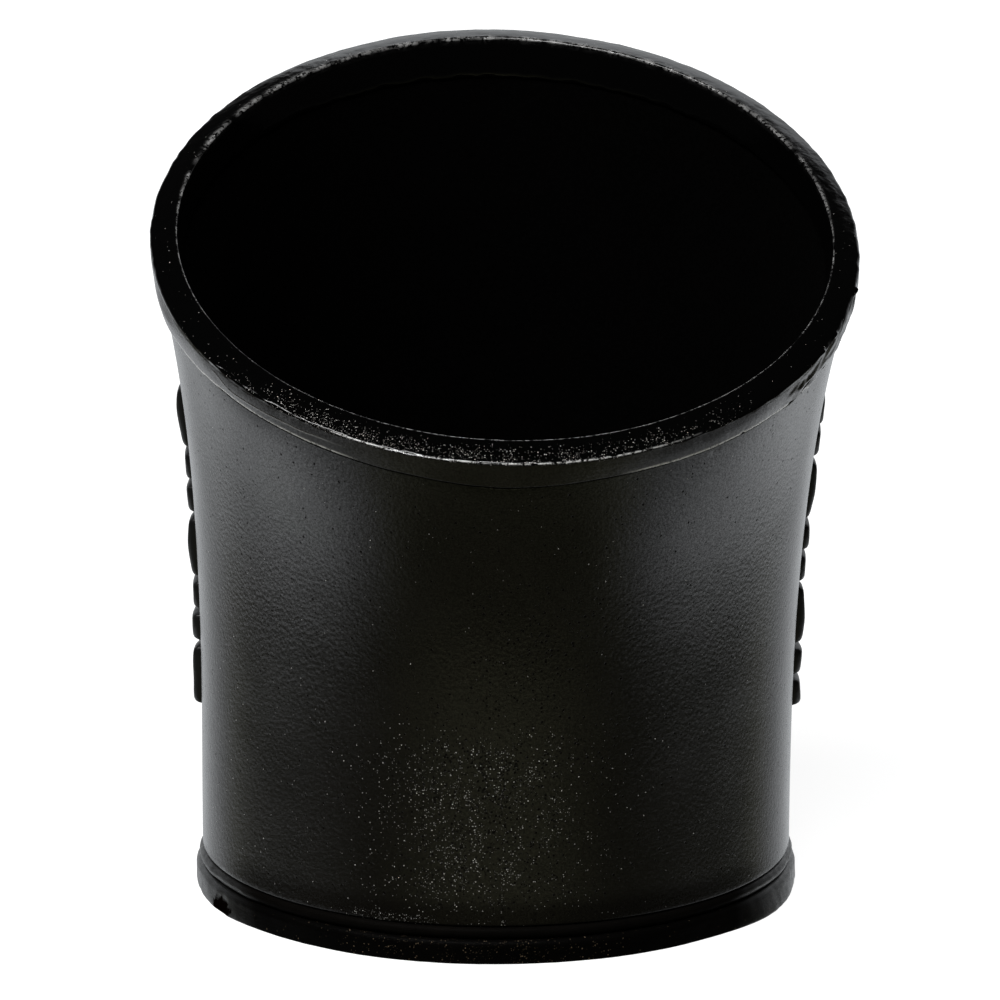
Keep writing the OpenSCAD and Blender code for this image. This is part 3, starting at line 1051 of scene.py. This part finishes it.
# Directions in the studio are in degrees: a rise over the horizon, and a bearing from the camera's side,
# negative to the left. The turn is the bearing without its sign.
def band(tree, value, start, full, fading, end):
    """0 up to start, 1 from full to fading and 0 again from end."""
    return times(tree, fade(tree, value, start, full), fade(tree, value, end, fading))


def backdrop_light(tree, x, turn, rise):
    """A pale backdrop behind the cup. It ends lower to the left, where x is negative."""
    height = calc(tree, "ADD", rise, fade(tree, x, -0.07, -0.14, 0, 9))
    return times(tree, fade(tree, turn, 108, 165, 0, 0.85), fade(tree, height, 38, 27))


def panel_light(tree, bearing, turn, rise):
    """A low panel on each side. Its top climbs towards the back. The left one has a brighter stretch."""
    top = calc(tree, "MULTIPLY_ADD", turn, 0.11, fade(tree, bearing, -60, 60, -33.2, -34.9))
    over = calc(tree, "SUBTRACT", rise, top)
    panel = times(tree, fade(tree, over, 1.5, -3.0), fade(tree, turn, 34, 86, 0, 1.32))
    panel = times(tree, panel, fade(tree, rise, -46, -29, 0.25, 1.0))
    stretch = times(tree, band(tree, bearing, -112, -96, -66, -52), 0.5)
    bright = calc(tree, "MULTIPLY_ADD", stretch, fade(tree, rise, -38, -30), 1.0)
    panel = times(tree, panel, bright)
    panel = times(tree, panel, fade(tree, turn, 178, 130))
    return times(tree, panel, fade(tree, bearing, -90, 90, 1.0, 1.12))


def studio_light(tree):
    """The studio's colour and brightness in each direction: the backdrop, the two panels, a faint warm
    glow low in front, and a long key lamp high over the left of the camera."""
    spot = add_node(tree, "TexCoord", {}).outputs["Generated"]
    x, y, z = add_node(tree, "SeparateXYZ", {"Vector": spot}).outputs
    rise = calc(tree, "DEGREES", calc(tree, "ARCSINE", z))
    bearing = calc(tree, "DEGREES", calc(tree, "ARCTAN2", x, times(tree, y, -1.0)))
    turn = calc(tree, "ABSOLUTE", bearing)

    backdrop = backdrop_light(tree, x, turn, rise)
    panel = panel_light(tree, bearing, turn, rise)
    around = calc(tree, "MAXIMUM", backdrop, panel)
    glow = times(tree, band(tree, rise, -24, -19.5, -18.8, -16.2), fade(tree, turn, 50, 8, 0, 0.6))
    key = times(tree, band(tree, rise, 48, 52, 60, 64), band(tree, bearing, -88, -72, 6, 22))
    key = times(tree, key, KEY_STRENGTH)
    base = times(tree, fade(tree, rise, -30, -48, 0.055, 0.1), fade(tree, rise, 5, -12, 0.2, 1.0))
    total = around
    for extra in (glow, key, base):
        total = calc(tree, "ADD", total, extra)
    tint = blend(tree, fade(tree, rise, -10, 0), WARM, WHITE)
    return blend(tree, fade(tree, around, 0, 0.4), tint, COOL), total


def make_world():
    """The studio as a world: white to the camera, and its lights to everything else."""
    world = bpy.data.worlds.new("studio")
    world.use_nodes = True
    tree = world.node_tree
    tree.nodes.clear()
    colour, strength = studio_light(tree)
    light = add_node(tree, "Background", {"Color": colour, "Strength": strength})
    white = add_node(tree, "Background", {"Color": WHITE, "Strength": 1.0})
    seen = add_node(tree, "LightPath", {}).outputs["Is Camera Ray"]
    both = add_node(tree, "MixShader", {0: seen, 1: light.outputs[0], 2: white.outputs[0]})
    add_node(tree, "OutputWorld", {"Surface": both.outputs[0]})
    bpy.context.scene.world = world


def make_stage():
    """A plain pale floor that takes the cup's soft shadow."""
    half = 4.0
    level = -0.05 * MM
    corners = [(x * half, y * half, level) for x, y in ((-1, -1), (1, -1), (1, 1), (-1, 1))]
    mesh = bpy.data.meshes.new("studio_floor")
    mesh.from_pydata(corners, [], [(0, 1, 2, 3)])
    floor = bpy.data.objects.new("studio_floor", mesh)
    bpy.context.scene.collection.objects.link(floor)
    material = bpy.data.materials.new("studio_floor")
    material.use_nodes = True
    tree = material.node_tree
    tree.nodes.clear()
    matt = add_node(tree, "BsdfDiffuse", {"Color": grey(0.4)})
    glow = add_node(tree, "Emission", {"Color": grey(1.0), "Strength": 0.9})
    both = add_node(tree, "AddShader", {0: matt.outputs[0], 1: glow.outputs[0]})
    add_node(tree, "OutputMaterial", {"Surface": both.outputs[0]})
    mesh.materials.append(material)
    floor.visible_glossy = False
    floor.visible_diffuse = False
    floor.visible_shadow = False


def make_camera():
    """A long lens that looks slightly down on the cup from the front."""
    back = Vector((0, -math.cos(CAMERA_RISE), math.sin(CAMERA_RISE)))
    data = bpy.data.cameras.new("camera")
    data.sensor_width = 36
    data.lens = LENS
    data.clip_start = 0.1
    data.clip_end = 50
    camera = bpy.data.objects.new("camera", data)
    camera.location = CAMERA_TARGET + back * CAMERA_DISTANCE
    camera.rotation_mode = "QUATERNION"
    camera.rotation_quaternion = (-back).to_track_quat("-Z", "Y")
    bpy.context.scene.collection.objects.link(camera)
    bpy.context.scene.camera = camera


make_sole()
make_welt()
make_floor()
make_sleeve()
make_lining()
make_binding()
make_relief()
finish_boards()
make_world()
make_stage()
make_camera()
bpy.context.scene.view_settings.view_transform = "Standard"

bpy.context.view_layer.update()
